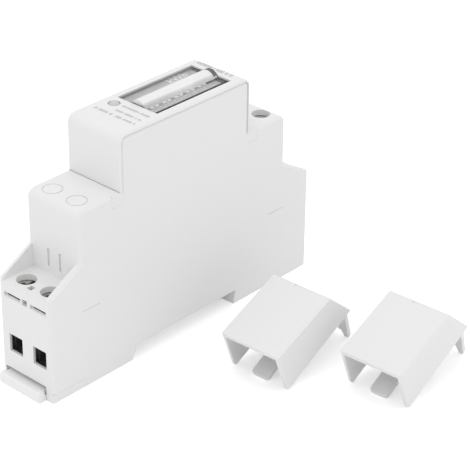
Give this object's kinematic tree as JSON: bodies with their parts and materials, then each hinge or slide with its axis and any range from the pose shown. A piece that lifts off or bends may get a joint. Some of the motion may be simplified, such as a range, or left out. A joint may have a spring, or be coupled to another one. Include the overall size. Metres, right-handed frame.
{
  "type": "din rail energy meter",
  "caption": "Slim stepped meter housing for a mounting rail, with screw clamps at both ends, a magnified number register, a sprung rail latch and loose end covers.",
  "frame": {"origin": "middle of the rail seat face, on the rail's centreline", "axes": "+X along the body away from the rail latch, +Y across the body away from the side cover, +Z from the rail to the display"},
  "size_m": [0.0954, 0.0817, 0.0647],
  "materials": {
    "white_shell": "fine satin moulded white",
    "white_latch": "satin moulded white",
    "clear_window": "clear polished moulding",
    "grey_dial": "printed grey plate",
    "lamp_lens": "tinted epoxy",
    "grey_frame": "moulded frame",
    "steel": "drawn steel",
    "white_gear": "acetal",
    "dark_magnet": "bonded magnet",
    "copper_winding": "enamelled wire",
    "board_green": "solder resist",
    "capacitor_yellow": "filled case",
    "capacitor_black": "sleeved can",
    "varistor_blue": "dipped coating",
    "chip_black": "moulded package",
    "copper_bar": "rolled copper",
    "shunt_alloy": "rolled resistance alloy",
    "tinned_strip": "tinned",
    "number_wheel": "moulded with printed numbers",
    "plated_clamp": "zinc plated",
    "plated_screw": "zinc plated"
  },
  "bodies": {
    "root": {"base_housing": "white_shell", "circuit_board": "board_green", "contact_pulse_minus": "tinned_strip", "contact_pulse_plus": "tinned_strip", "dial_plate": "grey_dial", "drive_arbor": "steel", "film_capacitor": "capacitor_yellow", "front_cap": "white_shell", "live_bar_in": "copper_bar", "live_bar_out": "copper_bar", "metering_chip": "chip_black", "neutral_bar": "copper_bar", "pinion_shaft": "steel", "pulse_coupler": "chip_black", "register_frame": "grey_frame", "register_shaft": "steel", "shunt_strip": "shunt_alloy", "side_cover": "white_shell", "status_lamp": "lamp_lens", "stepper_coil": "copper_winding", "stepper_stator": "steel", "supply_capacitor": "capacitor_black", "terminal_cover_a": "white_shell", "terminal_cover_b": "white_shell", "varistor": "varistor_blue", "window_lens": "clear_window"},
    "latch": {"rail_latch": "white_latch"},
    "screw_live_in": {"screw_live_in": "plated_screw"},
    "clamp_live_in": {"clamp_live_in": "plated_clamp"},
    "screw_neutral_in": {"screw_neutral_in": "plated_screw"},
    "clamp_neutral_in": {"clamp_neutral_in": "plated_clamp"},
    "screw_live_out": {"screw_live_out": "plated_screw"},
    "clamp_live_out": {"clamp_live_out": "plated_clamp"},
    "screw_neutral_out": {"screw_neutral_out": "plated_screw"},
    "clamp_neutral_out": {"clamp_neutral_out": "plated_clamp"},
    "screw_pulse_minus": {"screw_pulse_minus": "plated_screw"},
    "clamp_pulse_minus": {"clamp_pulse_minus": "plated_clamp"},
    "screw_pulse_plus": {"screw_pulse_plus": "plated_screw"},
    "clamp_pulse_plus": {"clamp_pulse_plus": "plated_clamp"},
    "wheel_1": {"number_wheel_1": "number_wheel"},
    "wheel_2": {"number_wheel_2": "number_wheel"},
    "wheel_3": {"number_wheel_3": "number_wheel"},
    "wheel_4": {"number_wheel_4": "number_wheel"},
    "wheel_5": {"number_wheel_5": "number_wheel"},
    "wheel_6": {"number_wheel_6": "number_wheel"},
    "pinion_1": {"carry_pinion_1": "white_gear"},
    "pinion_2": {"carry_pinion_2": "white_gear"},
    "pinion_3": {"carry_pinion_3": "white_gear"},
    "pinion_4": {"carry_pinion_4": "white_gear"},
    "pinion_5": {"carry_pinion_5": "white_gear"},
    "drive": {"drive_gear": "white_gear"},
    "rotor": {"stepper_rotor": "dark_magnet"}
  },
  "joints": [
    {"name": "latch_pull", "type": "slide", "parent": "root", "child": "latch", "axis": [-1, 0, 0], "range_m": [0, 0.003], "stiffness_N_per_m": 1500},
    {"name": "live_in_clamp", "type": "slide", "parent": "root", "child": "clamp_live_in", "axis": [0, 0, 1], "range_m": [0, 0.0042]},
    {"name": "live_in_screw", "type": "hinge", "parent": "root", "child": "screw_live_in", "pos_m": [-0.0422, -0.0047, 0.018], "axis": [0, 0, -1], "range_deg": [0, 2161]},
    {"name": "neutral_in_clamp", "type": "slide", "parent": "root", "child": "clamp_neutral_in", "axis": [0, 0, 1], "range_m": [0, 0.0042]},
    {"name": "neutral_in_screw", "type": "hinge", "parent": "root", "child": "screw_neutral_in", "pos_m": [-0.0422, 0.0037, 0.018], "axis": [0, 0, -1], "range_deg": [0, 2161]},
    {"name": "live_out_clamp", "type": "slide", "parent": "root", "child": "clamp_live_out", "axis": [0, 0, 1], "range_m": [0, 0.0042]},
    {"name": "live_out_screw", "type": "hinge", "parent": "root", "child": "screw_live_out", "pos_m": [0.0422, -0.0047, 0.018], "axis": [0, 0, -1], "range_deg": [0, 2161]},
    {"name": "neutral_out_clamp", "type": "slide", "parent": "root", "child": "clamp_neutral_out", "axis": [0, 0, 1], "range_m": [0, 0.0042]},
    {"name": "neutral_out_screw", "type": "hinge", "parent": "root", "child": "screw_neutral_out", "pos_m": [0.0422, 0.0037, 0.018], "axis": [0, 0, -1], "range_deg": [0, 2161]},
    {"name": "pulse_minus_clamp", "type": "slide", "parent": "root", "child": "clamp_pulse_minus", "axis": [0, 0, 1], "range_m": [0, 0.0018]},
    {"name": "pulse_minus_screw", "type": "hinge", "parent": "root", "child": "screw_pulse_minus", "pos_m": [0.0324, -0.0042, 0.041], "axis": [0, 0, -1], "range_deg": [0, 1441]},
    {"name": "pulse_plus_clamp", "type": "slide", "parent": "root", "child": "clamp_pulse_plus", "axis": [0, 0, 1], "range_m": [0, 0.0018]},
    {"name": "pulse_plus_screw", "type": "hinge", "parent": "root", "child": "screw_pulse_plus", "pos_m": [0.0324, 0.0042, 0.041], "axis": [0, 0, -1], "range_deg": [0, 1441]},
    {"name": "wheel_1_turn", "type": "hinge", "parent": "root", "child": "wheel_1", "pos_m": [0, 0, 0.0515], "axis": [1, 0, 0], "continuous": true},
    {"name": "wheel_2_turn", "type": "hinge", "parent": "root", "child": "wheel_2", "pos_m": [0, 0, 0.0515], "axis": [1, 0, 0], "continuous": true},
    {"name": "wheel_3_turn", "type": "hinge", "parent": "root", "child": "wheel_3", "pos_m": [0, 0, 0.0515], "axis": [1, 0, 0], "continuous": true},
    {"name": "wheel_4_turn", "type": "hinge", "parent": "root", "child": "wheel_4", "pos_m": [0, 0, 0.0515], "axis": [1, 0, 0], "continuous": true},
    {"name": "wheel_5_turn", "type": "hinge", "parent": "root", "child": "wheel_5", "pos_m": [0, 0, 0.0515], "axis": [1, 0, 0], "continuous": true},
    {"name": "wheel_6_turn", "type": "hinge", "parent": "root", "child": "wheel_6", "pos_m": [0, 0, 0.0515], "axis": [1, 0, 0], "continuous": true},
    {"name": "pinion_1_turn", "type": "hinge", "parent": "root", "child": "pinion_1", "pos_m": [0, 0.00396, 0.04754], "axis": [1, 0, 0], "continuous": true},
    {"name": "pinion_2_turn", "type": "hinge", "parent": "root", "child": "pinion_2", "pos_m": [0, 0.00396, 0.04754], "axis": [1, 0, 0], "continuous": true},
    {"name": "pinion_3_turn", "type": "hinge", "parent": "root", "child": "pinion_3", "pos_m": [0, 0.00396, 0.04754], "axis": [1, 0, 0], "continuous": true},
    {"name": "pinion_4_turn", "type": "hinge", "parent": "root", "child": "pinion_4", "pos_m": [0, 0.00396, 0.04754], "axis": [1, 0, 0], "continuous": true},
    {"name": "pinion_5_turn", "type": "hinge", "parent": "root", "child": "pinion_5", "pos_m": [0, 0.00396, 0.04754], "axis": [1, 0, 0], "continuous": true},
    {"name": "drive_turn", "type": "hinge", "parent": "root", "child": "drive", "pos_m": [0, 0, 0.0459], "axis": [1, 0, 0], "continuous": true},
    {"name": "rotor_turn", "type": "hinge", "parent": "root", "child": "rotor", "pos_m": [0, 0, 0.0403], "axis": [1, 0, 0], "continuous": true}
  ],
  "couplings": [
    {"joint": "live_in_screw", "follows": "live_in_clamp", "rad_per_m": 8976},
    {"joint": "neutral_in_screw", "follows": "neutral_in_clamp", "rad_per_m": 8976},
    {"joint": "live_out_screw", "follows": "live_out_clamp", "rad_per_m": 8976},
    {"joint": "neutral_out_screw", "follows": "neutral_out_clamp", "rad_per_m": 8976},
    {"joint": "pulse_minus_screw", "follows": "pulse_minus_clamp", "rad_per_m": 13963},
    {"joint": "pulse_plus_screw", "follows": "pulse_plus_clamp", "rad_per_m": 13963},
    {"joint": "wheel_2_turn", "follows": "wheel_1_turn", "ratio": 0.1},
    {"joint": "wheel_3_turn", "follows": "wheel_1_turn", "ratio": 0.01},
    {"joint": "wheel_4_turn", "follows": "wheel_1_turn", "ratio": 0.001},
    {"joint": "wheel_5_turn", "follows": "wheel_1_turn", "ratio": 0.0001},
    {"joint": "wheel_6_turn", "follows": "wheel_1_turn", "ratio": 0.00001},
    {"joint": "pinion_1_turn", "follows": "wheel_1_turn", "ratio": -0.25},
    {"joint": "pinion_2_turn", "follows": "wheel_1_turn", "ratio": -0.025},
    {"joint": "pinion_3_turn", "follows": "wheel_1_turn", "ratio": -0.0025},
    {"joint": "pinion_4_turn", "follows": "wheel_1_turn", "ratio": -0.00025},
    {"joint": "pinion_5_turn", "follows": "wheel_1_turn", "ratio": -0.000025},
    {"joint": "drive_turn", "follows": "wheel_1_turn", "ratio": -2.5},
    {"joint": "rotor_turn", "follows": "wheel_1_turn", "ratio": 6.25}
  ]
}
